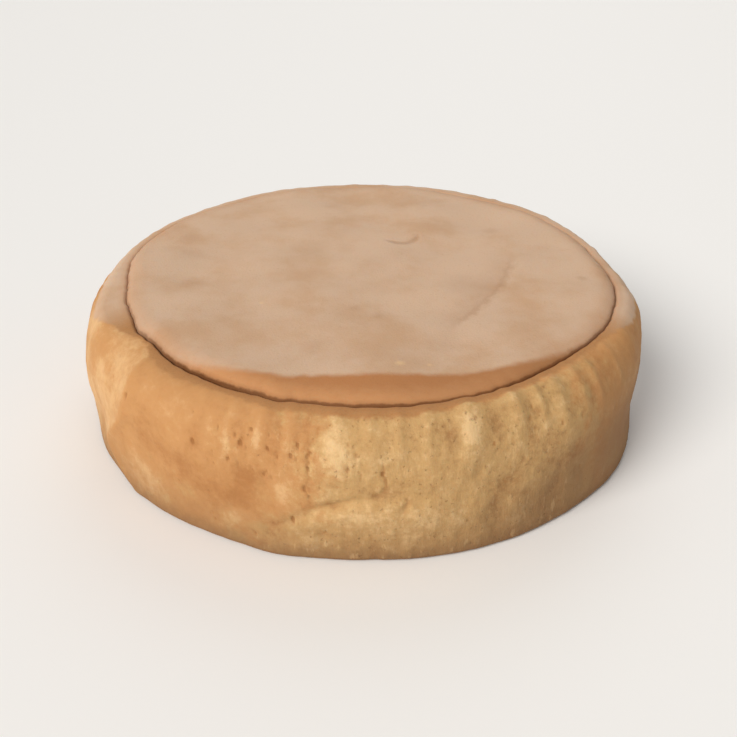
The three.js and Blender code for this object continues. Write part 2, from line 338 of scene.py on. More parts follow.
def draw_wall_waves(seed, count, turns, climb):
    """Whole waves round the wall, drifting with height: (turns, climb rate, phase)."""
    draw = drawer(seed)
    waves = []
    for _ in range(count):
        whole_turns = math.floor(drawn(draw, turns))
        rate = TURN / drawn(draw, climb)
        phase = TURN * next(draw)
        waves.append((whole_turns, rate if next(draw) < 0.5 else -rate, phase))
    return waves


def draw_pleats(seed, first, last, apart, width, rise, foot):
    """More pleats from one bearing on to another, in rows like the front ones."""
    draw = drawer(seed)
    rows = []
    bearing = first
    while bearing < last:
        rows.append((bearing, drawn(draw, width), drawn(draw, rise), drawn(draw, foot)))
        bearing += drawn(draw, apart)
    return tuple(rows)


PLEATS = FRONT_PLEATS + draw_pleats(**BACK_PLEATS)


def rim_drop(angle):
    """How far the rim lies below the top: most at the front left."""
    return RIM_DROP + bells_at(angle, DROP_BELLS)


def crease_gap(angle):
    """How far the crease lies below the rim: most at the front left, little round the back."""
    away = np.abs(away_from(angle, SHALLOW_FROM))
    shallower = BACK_SHALLOWER * ramp(away, SHALLOW_START, SHALLOW_END)
    return CREASE_GAP + bells_at(angle, GAP_BELLS) - shallower


def top_relief(x, y):
    """Height of the disc over its flat: a dome and swells, less two dimples and one long wrinkle,
    an arc of a wide circle whose inner side is sunk."""
    height = DOME_RISE * bump(np.hypot(x, y), DOME_SPREAD)
    for rate_x, rate_y, phase in draw_top_waves(**TOP_WAVES):
        height += TOP_WAVE * np.sin(rate_x * x + rate_y * y + phase)
    for middle_x, middle_y, radius, depth in DIMPLES:
        height -= depth * bump(np.hypot(x - middle_x, y - middle_y), radius)
    from_x, from_y = x - WRINKLE_MIDDLE[0], y - WRINKLE_MIDDLE[1]
    along = np.degrees(np.arctan2(from_y, from_x))
    across = np.hypot(from_x, from_y) - WRINKLE_RADIUS
    length = ramp(along, WRINKLE_FROM, WRINKLE_FROM + WRINKLE_FADE)
    length = length * (1 - ramp(along, WRINKLE_TO - WRINKLE_FADE, WRINKLE_TO))
    sunk = ramp(across, WRINKLE_EDGE, -WRINKLE_EDGE) * bump(np.minimum(across, 0), WRINKLE_REACH)
    return height - WRINKLE_SINK * length * sunk


def pleat_relief(angle, z):
    """How far the rim's pleats stand out: each a bell round, faded out below its foot."""
    return sum(
        rise * bump(away_from(angle, bearing), width) * ramp(z, foot - PLEAT_FADE, foot + PLEAT_FADE)
        for bearing, width, rise, foot in PLEATS
    )


def past_ridge(angle, z):
    """Millimetres to the left of the slanting ridge: it leans back with height, then stands, and
    near the base it curls the other way as a parabola."""
    lean = RIDGE_LEAN * ramp(z, RIDGE_LEAN_LOW, RIDGE_LEAN_HIGH)
    curl = RIDGE_CURL * np.minimum(z - RIDGE_CURL_HEIGHT, 0) ** 2
    return DEGREE_ROUND * (lean + curl - away_from(angle, RIDGE_BEARING))


def over_groove(angle, z):
    """Height over the groove, which sags as a parabola to each side of its crest."""
    right = away_from(angle, GROOVE_CREST)
    sag = GROOVE_LEFT_SAG * np.minimum(right, 0) ** 2 + GROOVE_RIGHT_SAG * np.maximum(right, 0) ** 2
    return z - GROOVE_HEIGHT + sag


def wall_relief(angle, z):
    """Outward relief of the wall: swells, dents, the groove, and the facet behind its ridge."""
    out = np.zeros_like(angle + z)
    for turns, rate, phase in draw_wall_waves(**WALL_WAVES):
        out += WALL_WAVE * np.sin(turns * angle + rate * z + phase)
    out *= BASE_WAVE_SHARE + (1 - BASE_WAVE_SHARE) * ramp(z, WAVE_GROWS_FROM, WAVE_GROWS_TO)
    out += dents_at(angle, z, WALL_DENTS) + dents_at(angle, over_groove(angle, z), GROOVE_SWELLS)
    past = past_ridge(angle, z)
    depth = FACET_EVEN_DENT + FACET_DENT * bump(z - FACET_HEIGHT, FACET_HALF_HEIGHT)
    facet = RIDGE_RISE * bump(past, RIDGE_HALF) - depth * bump(past - FACET_MIDDLE, FACET_HALF_WIDTH)
    return out + facet * ramp(z, FACET_FADE_FROM, FACET_FADE_TO)


# The noise's lattice is hashed from its place: a factor for each axis, and one for the seed
HASH_X = 73856093
HASH_Y = 19349663
HASH_Z = 83492791
HASH_SEED = 9781


def lattice_noise(points, cell, seed):
    """Smooth noise between -1 and 1: random values at the corners of cubes of side cell, each
    hashed from its place, and blended with the cubic step along all three axes."""
    scaled_points = points / cell
    corner = np.floor(scaled_points).astype(np.int64)
    share = scaled_points - corner
    share = share * share * (3.0 - 2.0 * share)
    total = np.zeros(points.shape[:-1])
    for dx, dy, dz in np.ndindex(2, 2, 2):
        place = corner + (dx, dy, dz)
        key = place[..., 0] * HASH_X ^ place[..., 1] * HASH_Y ^ place[..., 2] * HASH_Z
        key = (key + seed * HASH_SEED) & DRAW_PRIME
        key = (key * DRAW_FACTOR) % DRAW_PRIME
        key = (key * DRAW_FACTOR) % DRAW_PRIME
        value = 2.0 * key / DRAW_PRIME - 1.0
        weight = np.abs(1 - dx - share[..., 0]) * np.abs(1 - dy - share[..., 1])
        total += value * weight * np.abs(1 - dz - share[..., 2])
    return total


def grains_at(points, rows, openness=0.0):
    """The sum of the rows' noises, squashed upright, each as high as on skin plus, as far as the
    crumb is open, its more."""
    return sum(
        (on_skin + more * openness) * lattice_noise(points * (1.0, 1.0, squash), cell, seed)
        for cell, seed, squash, on_skin, more in rows
    )


# The largest bubble holes of the wall: bearing, height, half width, half height, depth
LARGE_PORES = (
    (-120.3, 34.0, 0.7, 1.1, 0.7), (-119.8, 36.6, 0.5, 0.6, 0.4), (-113.2, 31.8, 0.6, 1.0, 0.6),
    (-111.0, 37.5, 0.7, 1.2, 0.8), (-109.0, 42.2, 0.8, 0.8, 0.5), (-105.9, 37.6, 0.8, 1.0, 0.8),
    (-104.3, 36.0, 0.4, 0.8, 0.5), (-101.9, 37.1, 0.6, 0.7, 0.6), (-100.8, 40.2, 0.6, 0.7, 0.5),
    (-108.8, 30.2, 0.6, 0.6, 0.4), (-106.3, 30.0, 0.5, 0.8, 0.4), (-102.0, 14.5, 0.7, 1.2, 0.7),
    (-96.4, 11.6, 0.5, 0.8, 0.5), (-87.0, 33.0, 0.6, 1.0, 0.7), (-71.2, 46.3, 0.9, 0.7, 0.4),
    (-61.0, 42.2, 0.8, 1.0, 0.3), (-59.0, 43.4, 0.9, 0.8, 0.3), (-53.0, 41.2, 0.8, 0.8, 0.3),
)

# Smaller holes all round: the least value and the range of each draw. Half widths and depths
# are in millimetres, a hole's half height is its half width times its stretch
PORE_SEED = 2718
PORE_COUNT = 170
PORE_BEARING = (-180.0, 360.0)
PORE_HEIGHT = (5.0, 40.0)
PORE_HALF = (0.35, 0.40)
PORE_STRETCH = (1.0, 1.2)
PORE_DEPTH = (0.20, 0.45)
# The chance that a hole is kept: even, more in a band under the rim, then times a share and a
# bell round the cake for each row (bearing, half width, share, bell)
PORE_CHANCE = 0.12
PORE_BAND = (36.0, 6.0, 0.5)
PORE_PLACES = ((-108.0, 12.0, 0.5, 1.1), (-145.0, 18.0, 1.0, -0.8))


def draw_pores():
    """Smaller holes all round, thickest in a band under the rim and at the front left, few on
    the facet: (bearing, height, half width, half height, depth). Most are small, as the half
    width's draw is squared."""
    draw = drawer(PORE_SEED)
    band_height, band_half, band_chance = PORE_BAND
    pores = []
    while len(pores) < PORE_COUNT:
        bearing = drawn(draw, PORE_BEARING)
        height = drawn(draw, PORE_HEIGHT)
        half = PORE_HALF[0] + PORE_HALF[1] * next(draw) ** 2
        tall = half * drawn(draw, PORE_STRETCH)
        depth = PORE_DEPTH[0] + PORE_DEPTH[1] * next(draw) * half
        chance = PORE_CHANCE + band_chance * bump(height - band_height, band_half)
        for middle, width, share, bell in PORE_PLACES:
            chance *= share + bell * bump(bearing - middle, width)
        if next(draw) < chance:
            pores.append((bearing, height, half, tall, depth))
    return tuple(pores)


# Upright cracks: bearing, sway in degrees, lowest and highest point, half width, depth
CRACKS = ((-99.2, 0.75, 18.0, 43.0, 0.6, 0.60), (-86.8, 0.40, 28.0, 39.0, 0.5, 0.40))

# A hole is worked out within so many degrees and millimetres of its middle, and its edge is
# soft between two shares of its size, made ragged by noise (cell, seed and strength)
PORE_NEAR_DEGREES = 3.0
PORE_NEAR_HEIGHT = 4.0
PORE_EDGE = (1.4, 0.2)
PORE_RAG = (0.9, 21)
PORE_RAG_STRENGTH = 0.55
# A crack sways with two noises and breaks off with a third (cell, seed); its ends are soft
CRACK_SWAY = (4.5, 22)
CRACK_FINE_SWAY = (1.7, 23)
CRACK_FINE_SHARE = 0.5
CRACK_BREAK = (1.9, 24)
CRACK_WHOLE = 0.45
CRACK_BROKEN = 0.8
CRACK_END = 2


def pore_field(angle, z, points):
    """How deep each point lies in a hole or crack, in millimetres: the deepest of all. A hole is
    an oval with a ragged edge; a crack is an upright strip that sways and breaks off by noise."""
    depth = np.zeros_like(angle + z)
    degrees = np.degrees(angle)
    ragged = PORE_RAG_STRENGTH * lattice_noise(points, *PORE_RAG)
    for bearing, height, half, tall, deep in LARGE_PORES + draw_pores():
        apart = (degrees - bearing + 180.0) % 360.0 - 180.0
        near = np.abs(apart[0]) < PORE_NEAR_DEGREES
        rows = np.abs(z[:, near] - height).min(axis=1) < PORE_NEAR_HEIGHT
        block = np.ix_(rows, near)
        oval = np.hypot(apart[:, near] * DEGREE_ROUND / half, (z[block] - height) / tall)
        depth[block] = np.maximum(depth[block], deep * ramp(oval + ragged[block], *PORE_EDGE))
    for bearing, sway, low, high, half, deep in CRACKS:
        upright = np.stack([np.zeros_like(z), np.full_like(z, bearing), z], axis=-1)
        wander = lattice_noise(upright, *CRACK_SWAY)
        wander += CRACK_FINE_SHARE * lattice_noise(upright, *CRACK_FINE_SWAY)
        apart = away_from(angle, bearing) - sway * wander
        length = ramp(z, low - CRACK_END, low + CRACK_END) * ramp(z, high + CRACK_END, high - CRACK_END)
        broken = CRACK_WHOLE + CRACK_BROKEN * lattice_noise(upright, *CRACK_BREAK) + ragged
        broken = np.clip(broken, 0, 1)
        depth = np.maximum(depth, deep * length * broken * bump(apart * DEGREE_ROUND, half))
    return depth


# Cuts along the groove: bearing, half width in degrees, height over the groove, half height,
# climb in millimetres a degree, depth. The slit under its brow, and a hollow to its right
GROOVE_CUTS = ((-95.0, 3.2, 0.2, 1.2, 0.0, 0.45), (-86.4, 1.9, 2.2, 1.4, 0.9, 0.5))
# Upright cuts right of them: bearing, half width in degrees, height, half height, lean in
# degrees a millimetre and the height where it starts, depth. A pit and its fork
UPRIGHT_CUTS = ((-83.1, 0.5, 21.2, 1.7, 0.16, 21.0, 0.7), (-82.6, 0.4, 23.4, 1.0, -0.30, 22.6, 0.5))


def cut_field(angle, z):
    """How deep the sharp cuts lie, in millimetres: the deepest of all, each its depth times a
    bell across it and a bell along it."""
    depth = np.zeros_like(angle + z)
    above = over_groove(angle, z)
    for bearing, width, height, tall, climb, deep in GROOVE_CUTS:
        right = away_from(angle, bearing)
        cut = deep * bump(right, width) * bump(above - height - climb * right, tall)
        depth = np.maximum(depth, cut)
    for bearing, width, height, tall, lean, start, deep in UPRIGHT_CUTS:
        right = away_from(angle, bearing) - lean * (z - start)
        depth = np.maximum(depth, deep * bump(right, width) * bump(z - height, tall))
    return depth


# Paler and browner places of the wall: bearing, height, half width and half height in
# millimetres, and tone from 1 (cream) to -1 (brown). Most are the wall's own tone, but some are
# painted light: painted shade under the groove's brow at -95, in the dents' valleys at -67 and
# -64 and broadly at the front right about -52 and -57, and painted highlights on the ridge below
# the groove at -92.5, in part on the pleat at -72, and high on the far left at -166.
PATCHES = (
    (-94.8, 41, 4.5, 6.0, 0.9), (-72.0, 43, 3.4, 5.0, 0.6), (-128.0, 41, 16.0, 5.0, 0.5),
    (-103.6, 24, 3.6, 5.0, 0.8), (-98.2, 6, 3.5, 4.0, 0.7), (-60.0, 30, 8.0, 5.0, -0.2),
    (-92.5, 17.5, 8.0, 2.4, 0.7), (-80.0, 15, 12.0, 6.0, 0.35), (-133.5, 12, 8.0, 7.0, 0.8),
    (-113.6, 39, 1.3, 6.0, 0.8), (-108.0, 41, 1.5, 4.5, 0.9), (-102.8, 40, 1.4, 5.0, 0.6),
    (-117.6, 37, 1.8, 6.0, 0.5), (-112.0, 12, 4.5, 3.0, 0.7), (-86.4, 38, 2.0, 2.4, 0.5),
    (-83.0, 40, 2.2, 3.0, 0.4), (-113.5, 19, 12.0, 6.0, -0.8), (-109.5, 27, 6.0, 4.0, -0.8),
    (-120.5, 34, 3.0, 3.5, -0.6), (-105.0, 38, 1.6, 4.0, -0.5), (-110.8, 38, 1.4, 3.0, -0.5),
    (-105.0, 9, 4.0, 5.0, -0.7), (-96.5, 10.5, 4.0, 1.6, -0.6), (-87.0, 25.5, 3.4, 2.2, -0.9),
    (-95.2, 20.3, 4.5, 1.3, -0.8), (-99.2, 30, 1.2, 12.0, -0.4), (-88.4, 3.5, 2.4, 5.0, -0.6),
    (-86.9, 32.5, 1.4, 2.4, -0.6), (-83.0, 21.5, 1.1, 2.4, -0.7), (-84.0, 29, 10.0, 3.0, -0.3),
    (-67.2, 13, 2.6, 9.0, -0.8), (-64.0, 23, 3.6, 5.0, -0.8), (-75.3, 42, 2.2, 4.0, -0.8),
    (-67.3, 43, 2.0, 4.0, -0.5), (-60.8, 36, 2.2, 5.0, -0.4), (-52.0, 24, 9.0, 10.0, -0.6),
    (-57.0, 15, 6.0, 6.0, -0.4), (-136.0, 30, 16.0, 6.0, -0.3), (-124.0, 26, 10.0, 3.0, -0.4),
    (-126.0, 21, 16.0, 7.0, -0.4), (-166.0, 45, 16.0, 7.0, 0.8),
)
# More of the same round the back: least value and range of each draw. The sizes' draws are
# squared, so that most are small
BACK_PATCHES = {
    "seed": 606, "count": 60, "bearings": (-38, 253), "heights": (4, 42), "wide": (3, 9),
    "tall": (3, 6), "tones": (-0.9, 1.6),
}
# The cream facet, a painted reflection: its tone, where it starts and where it ends, in
# millimetres past the ridge
FACET_REFLECTION = 0.7
FACET_TONE_START = (-1.0, 2.0)
FACET_TONE_END = (60, 30)
# Pleats are paler by their rise, partly a paler crust and partly a painted highlight on their
# crests; the rim is browner between two heights
PLEAT_TONE_AND_HIGHLIGHT = 0.6
RIM_TONE = -0.25
RIM_TONE_FROM = 32
RIM_TONE_TO = 42


def draw_patches(seed, count, bearings, heights, wide, tall, tones):
    """Patches in rows like the front ones."""
    draw = drawer(seed)
    return tuple(
        (
            drawn(draw, bearings), drawn(draw, heights), wide[0] + wide[1] * next(draw) ** 2,
            tall[0] + tall[1] * next(draw) ** 2, drawn(draw, tones),
        )
        for _ in range(count)
    )


def tone_field(angle, z):
    """The patches' bells, some of them painted shade and highlights, the cream facet left of the
    ridge, a painted reflection, pleats paler by their rise, partly a painted highlight, and browner
    valleys.
    """
    past = past_ridge(angle, z)
    tone = FACET_REFLECTION * ramp(past, *FACET_TONE_START) * ramp(past, *FACET_TONE_END)
    tone += PLEAT_TONE_AND_HIGHLIGHT * pleat_relief(angle, z) + RIM_TONE * ramp(z, RIM_TONE_FROM, RIM_TONE_TO)
    for bearing, height, wide, tall, strength in PATCHES + draw_patches(**BACK_PATCHES):
        across = away_from(angle, bearing) * DEGREE_ROUND
        tone += strength * bump(across, wide) * bump(z - height, tall)
    return np.clip(tone, -1, 1)


# The rim is as pale as the top crust round the back, partly crust and partly a painted haze, out
# to so many degrees from its middle
BARE_MIDDLE = 88
BARE_WITHIN = 106
BARE_PAST = 122
# The tan strip past the ledge: least width, bells, and how much wider where the rim is bare
STRIP_WIDTH = 0.3
STRIP_BELLS = ((-92, 17, 2.6), (-60, 25, 0.5))
STRIP_BARE = 5.0
# The caramel band inside the crease, partly browner crust and partly painted shade: a bell
# across the front, and what is taken off it all round
BAND_BELLS = ((-86, 34, 16.5),)
BAND_LESS = 2.5
# The crease's painted shade line: least darkness and bells, gone round the back between two
# distances
LINE_LEAST = 0.25
LINE_BELLS = ((-80, 45, 0.45), (-128, 18, 0.45))
LINE_MIDDLE = -80
LINE_WITHIN = 92
LINE_PAST = 125
# Open crumb at the front: from one bearing, which lies further left above the base, to another
CRUMB_LEFT = -98
CRUMB_LEFT_SOFT = 13
CRUMB_LEFT_LEAN = 8
CRUMB_LEAN_HEIGHTS = (18, 3)
CRUMB_RIGHT = -48
CRUMB_RIGHT_SOFT = 16
# Round the back, less of it higher up, and a little low down all round
CRUMB_BACK = (60, 45, 0.8)
CRUMB_BACK_LESS = 0.6
CRUMB_BACK_HEIGHTS = (20, 44)
CRUMB_LOW = 0.2
CRUMB_LOW_HEIGHTS = (26, 6)


def bare_rim(angle):
    """Where the rim is as pale as the top crust, partly a painted haze, 0 to 1: from the right round
    the back to the left.
    """
    return ramp(np.abs(away_from(angle, BARE_MIDDLE)), BARE_PAST, BARE_WITHIN)


def rim_strip(angle):
    """Width of the tan crust strip that runs on past the ledge, in millimetres."""
    return STRIP_WIDTH + bells_at(angle, STRIP_BELLS) + STRIP_BARE * bare_rim(angle)


def lip_band(angle):
    """Width of the caramel band inside the crease, in millimetres: a crescent across the front,
    partly painted shade.
    """
    return bells_at(angle, BAND_BELLS) - BAND_LESS


def crease_shade_strength(angle):
    """How dark the crease's painted shade line is, 0 to 1: most at the front left, gone round the
    back.
    """
    shown = ramp(np.abs(away_from(angle, LINE_MIDDLE)), LINE_PAST, LINE_WITHIN)
    return shown * (LINE_LEAST + bells_at(angle, LINE_BELLS))


def crumb_field(angle, z):
    """Where the skin is gone and crumb shows, 0 to 1: the front, part of the back, a little low."""
    left = CRUMB_LEFT - CRUMB_LEFT_LEAN * ramp(z, *CRUMB_LEAN_HEIGHTS)
    front = ramp(away_from(angle, left), -CRUMB_LEFT_SOFT, CRUMB_LEFT_SOFT)
    front = front * ramp(away_from(angle, CRUMB_RIGHT), CRUMB_RIGHT_SOFT, -CRUMB_RIGHT_SOFT)
    back = bells_at(angle, (CRUMB_BACK,)) * (1 - CRUMB_BACK_LESS * ramp(z, *CRUMB_BACK_HEIGHTS))
    return np.clip(front + back + CRUMB_LOW * ramp(z, *CRUMB_LOW_HEIGHTS), 0, 1)


# Roughness: the noise's cell in millimetres, its seed, squash, height on skin and what crumb adds
CREASE_FRAY = ((2.6, 7, 1.0, 0.3, 0.0),)
CRUST_PEEL = ((3.0, 4, 1.0, 0.03, 0.0), (7.5, 5, 1.0, 0.05, 0.0))
WALL_GRAINS = ((1.9, 1, 1.0, 0.06, 0.06), (4.1, 2, 1.0, 0.08, 0.08), (5.0, 3, 0.35, 0.12, 0.0))
WALL_LUMPS = ((2.6, 11, 0.6, 1.0, 0.0), (1.4, 12, 1.0, 0.7, 0.0))
LUMP_HEIGHT = 0.04
LUMP_MORE = 0.08
# The wall's roughness starts past the ledge, between two distances in millimetres
ROUGH_FROM = -0.5
ROUGH_FULL = 4.0
# Where the skin is pitted too, in a row like the dents, and how open it is there
PITTED_PLACE = ((-109, 12, 1.0, 36, 9),)
PITTED_OPEN = 0.6
# Painted shade of the holes: the depth of a hole that is at its darkest, and how dark a
# millimetre of cut is
PORE_DARKEST = 0.7
CUT_DARKNESS = 0.45
# How densely small pits lie on crumb and on the pitted skin
PITS_ON_CRUMB = 0.60
PITS_ON_SKIN = 0.55
# Distances kept for the material go this far, in millimetres
MARK_REACH = 40
# Millimetres in the scene's metre
MILLIMETRES = 1000.0


def shares(count):
    """The shares of a stretch at its rings, from after its start to its end, as a column."""
    return (np.arange(1, count + 1) / count)[:, None]


def cake_profile(angle):
    """The profile at each angle, as radius and height, stretch by stretch from the top's middle.

    A ring's share t runs along its stretch. A quarter turn t of an ellipse gives the lip (down
    into the crease and a little under itself), the crease's outer side, the roll and the base
    edge; the disc and the wall between are straight. Returns the stretches, the radius of the
    crease, and the radius and height of the ledge outside it."""
    cos, sin = np.cos(angle), np.sin(angle)
    circle = np.stack([CREASE_RADIUS * cos, CREASE_RADIUS * sin, 0 * cos], axis=-1)
    crease = CREASE_RADIUS + waves_at(angle, CREASE_WAVES) + bells_at(angle, CREASE_BELLS)
    crease = crease + grains_at(circle, CREASE_FRAY)
    disc_edge = crease - LIP_WIDTH
    floor = TOP_HEIGHT - rim_drop(angle) - CREASE_DEPTH_SHARE * crease_gap(angle)
    rim_top = TOP_HEIGHT - rim_drop(angle) + RIM_SWAY * pleat_relief(angle, TOP_HEIGHT)

    disc_r = disc_edge * shares(DISC_RINGS)
    disc_z = TOP_HEIGHT + top_relief(disc_r * cos, disc_r * sin)

    bend = LIP_TUCK * QUARTER * shares(LIP_RINGS)
    lip_r = disc_edge + LIP_WIDTH * np.sin(bend)
    lip_z = disc_z[-1:] - (disc_z[-1:] - floor) * (1 - np.cos(bend))

    bend = QUARTER * shares(CREASE_RINGS)
    foot_r, foot_z = lip_r[-1:], lip_z[-1:]
    opened = CREASE_LEAN * shares(CREASE_RINGS) + (1 - CREASE_LEAN) * (1 - np.cos(bend))
    crease_r = foot_r + (crease + CREASE_WALL - foot_r) * opened
    crease_z = foot_z + (rim_top - foot_z) * np.sin(bend)

    ledge_width = LEDGE_WIDTH + bells_at(angle, LEDGE_BELLS)
    ledge = crease + CREASE_WALL + ledge_width
    shoulder = SHOULDER_RADIUS + waves_at(angle, OUTLINE_WAVES) + bells_at(angle, OUTLINE_BELLS)
    ledge_top = rim_top - LEDGE_STEP - LEDGE_SAG * ledge_width ** 2
    bend = QUARTER * np.vstack([[[0.0]], shares(ROLL_RINGS)])
    roll_z = ledge_top - ROLL_HEIGHT * (1 - np.cos(bend))
    pleat = pleat_relief(angle, roll_z)
    relief = wall_relief(angle, roll_z) + pleat
    roll_r = ledge + (shoulder - ledge) * np.sin(bend) + relief * np.sin(bend)
    roll_z = roll_z + pleat * np.cos(bend) * ramp(bend, 0.0, PLEAT_START)

    wall_top = ledge_top - ROLL_HEIGHT
    wall_z = wall_top + (BASE_EDGE - wall_top) * shares(WALL_RINGS)
    wall_r = shoulder + (BASE_RADIUS - SHOULDER_RADIUS) * shares(WALL_RINGS)
    wall_r = wall_r + wall_relief(angle, wall_z) + pleat_relief(angle, wall_z)

    bend = QUARTER * shares(BASE_RINGS)
    foot = wall_r[-1:]
    base_r = foot - BASE_EDGE * (1 - np.cos(bend))
    base_z = np.broadcast_to(BASE_EDGE * (1 - np.sin(bend)), base_r.shape)
    bottom_r = (foot - BASE_EDGE) * (1 - shares(BOTTOM_RINGS + 1)[:-1])

    stretches = (
        (disc_r, disc_z), (lip_r, lip_z), (crease_r, crease_z), (roll_r, roll_z),
        (wall_r, wall_z), (base_r, base_z), (bottom_r, np.zeros_like(bottom_r)),
    )
    return stretches, crease, ledge, ledge_top


def cake_grid():
    """Points of the cake's skin on a grid of rings (top middle to bottom middle) and stations,
    which crowd together at the front: their angle is a turn's share less a sine of it. Fine
    relief is added to the profile, outwards on the wall and upwards on the top. Returns x, y, z
    and what the material reads at each point."""
    turn = TURN * np.arange(STATIONS) / STATIONS
    angle = (math.radians(STATION_CENTRE) + turn - STATION_CROWDING * np.sin(turn))[None, :]
    cos, sin = np.cos(angle), np.sin(angle)
    stretches, crease, ledge, ledge_top = cake_profile(angle)
    radius = np.vstack([stretch_r for stretch_r, _ in stretches])
    height = np.vstack([stretch_z for _, stretch_z in stretches])
    counts = [len(stretch_r) for stretch_r, _ in stretches]

    def on_rings(disc, lip, crease_side, roll, wall, base, bottom):
        """One value for each stretch, on all its rings."""
        return np.repeat((disc, lip, crease_side, roll, wall, base, bottom), counts)[:, None]

    from_ledge = np.hypot(radius - ledge, ledge_top - height) * np.where(radius < ledge, -1, 1)
    walled = on_rings(0.0, 0.0, 0.0, 1.0, 1.0, 0.5, 0.0) * ramp(from_ledge, ROUGH_FROM, ROUGH_FULL)
    points = np.stack([radius * cos, radius * sin, height], axis=-1)
    cuts = cut_field(angle, height) * walled
    pores = pore_field(angle, height, points) * walled
    crumb = crumb_field(angle, height) * walled
    pitted = dents_at(angle, height, PITTED_PLACE) * walled
    openness = np.clip(crumb + PITTED_OPEN * pitted, 0, 1)
    lumps = grains_at(points, WALL_LUMPS)
    grain = grains_at(points, WALL_GRAINS, openness) + (LUMP_HEIGHT + LUMP_MORE * openness) * lumps
    peel = grains_at(points, CRUST_PEEL) * on_rings(1.0, 1.0, 0.0, 0.0, 0.0, 0.0, 0.0)
    from_crease = np.clip(radius - crease, -MARK_REACH, MARK_REACH)
    marks = {
        "lumps": lumps * walled,
        "from_crease": from_crease + MARK_REACH * on_rings(0, 0, 0, 0, 1, 1, 1),
        "from_ledge": from_ledge - rim_strip(angle),
        "from_band": np.clip(radius - crease + lip_band(angle), -MARK_REACH, MARK_REACH),
        "bare": bare_rim(angle),
        "line": crease_shade_strength(angle),
        "pore": np.clip(pores / PORE_DARKEST + CUT_DARKNESS * cuts, 0, 1),
        "tone": tone_field(angle, height),
        "crumb": crumb,
        "open": openness,
        "pitted": np.clip(PITS_ON_CRUMB * crumb + PITS_ON_SKIN * pitted, 0, 1),
    }
    radius = radius + walled * grain - np.maximum(pores, cuts)
    return radius * cos, radius * sin, height + peel, marks


def cake_mesh():
    """The grid joined in quads from ring to ring, with a pole at the top and at the bottom, and
    moved so that the middle of its outline is that of the solid."""
    x, y, z, marks = cake_grid()
    cad_low, cad_high = np.array(cad_box) * MILLIMETRES
    middle_x = (cad_low[0] + cad_high[0] - x.min() - x.max()) / 2
    middle_y = (cad_low[1] + cad_high[1] - y.min() - y.max()) / 2
    x, y = x + middle_x, y + middle_y
    rings = len(z)
    body = np.stack([x, y, z], axis=-1).reshape(-1, 3)
    top = [[middle_x, middle_y, z[0].mean()]]
    bottom = [[middle_x, middle_y, 0.0]]
    vertices = np.vstack([top, body, bottom]) / MILLIMETRES
    here = np.arange(STATIONS)
    after = (here + 1) % STATIONS
    ring = (1 + STATIONS * np.arange(rings - 1))[:, None]
    below = ring + STATIONS
    quads = np.stack([ring + here, below + here, below + after, ring + after], axis=-1)
    last = 1 + STATIONS * (rings - 1)
    pole = len(vertices) - 1
    top_fan = np.stack([np.zeros_like(here), 1 + here, 1 + after], axis=-1)
    bottom_fan = np.stack([np.full_like(here, pole), last + after, last + here], axis=-1)
    faces = quads.reshape(-1, 4).tolist() + top_fan.tolist() + bottom_fan.tolist()
    mesh = bpy.data.meshes.new("sponge")
    mesh.from_pydata(vertices, [], faces)
    mesh.polygons.foreach_set("use_smooth", np.ones(len(faces), dtype=bool))
    for name, values in marks.items():
        values = values + np.zeros_like(x)
        full = np.concatenate([[values[0].mean()], values.reshape(-1), [values[-1].mean()]])
        stored = mesh.attributes.new(name, "FLOAT", "POINT")
        stored.data.foreach_set("value", full.astype(np.float32))
    mesh.validate()
    return mesh


def set_inputs(tree, node, inputs):
    """Sets or links each named or numbered input of a node."""
    for key, value in inputs.items():
        if isinstance(value, bpy.types.NodeSocket):
            tree.links.new(value, node.inputs[key])
        else:
            node.inputs[key].default_value = value
    return node


def maths(tree, operation, first, second=0.0, third=0.0):
    """One Math node."""
    node = tree.nodes.new("ShaderNodeMath")
    node.operation = operation
    return set_inputs(tree, node, {0: first, 1: second, 2: third}).outputs[0]


def times(tree, first, second):
    """One value times another."""
    return maths(tree, "MULTIPLY", first, second)


def scaled(tree, value, factor, plus):
    """A value times a factor, plus another value."""
    return maths(tree, "MULTIPLY_ADD", value, factor, plus)


def soft_step(tree, value, low, high, least=0.0, most=1.0):
    """The least below low, the most above high, smooth between."""
    node = tree.nodes.new("ShaderNodeMapRange")
    node.interpolation_type = "SMOOTHSTEP"
    inputs = {"Value": value, "From Min": low, "From Max": high, "To Min": least, "To Max": most}
    return set_inputs(tree, node, inputs).outputs["Result"]


def blend(tree, factor, first, second):
    """A mix of two colours, the first where the factor is 0."""
    node = tree.nodes.new("ShaderNodeMix")
    node.data_type = "RGBA"
    set_inputs(tree, node, {0: factor})
    for label, value in (("A", first), ("B", second)):
        socket = [s for s in node.inputs if s.name == label and s.type == "RGBA"][0]
        if isinstance(value, bpy.types.NodeSocket):
            tree.links.new(value, socket)
        else:
            socket.default_value = (*value, 1.0)
    return [s for s in node.outputs if s.type == "RGBA"][0]


def layer(tree, under, over, amount, start, end, most=1.0):
    """One colour laid over another: not at all where the amount is at its start, and at its
    end as strongly as most, a share."""
    return blend(tree, soft_step(tree, amount, start, end, 0.0, most), under, over)


def object_millimetres(tree, stretch=(1.0, 1.0, 1.0)):
    """The object's own coordinates in millimetres, scaled along each axis."""
    coordinates = tree.nodes.new("ShaderNodeTexCoord")
    mapping = tree.nodes.new("ShaderNodeMapping")
    tree.links.new(coordinates.outputs["Object"], mapping.inputs["Vector"])
    mapping.inputs["Scale"].default_value = tuple(MILLIMETRES * s for s in stretch)
    return mapping.outputs["Vector"]


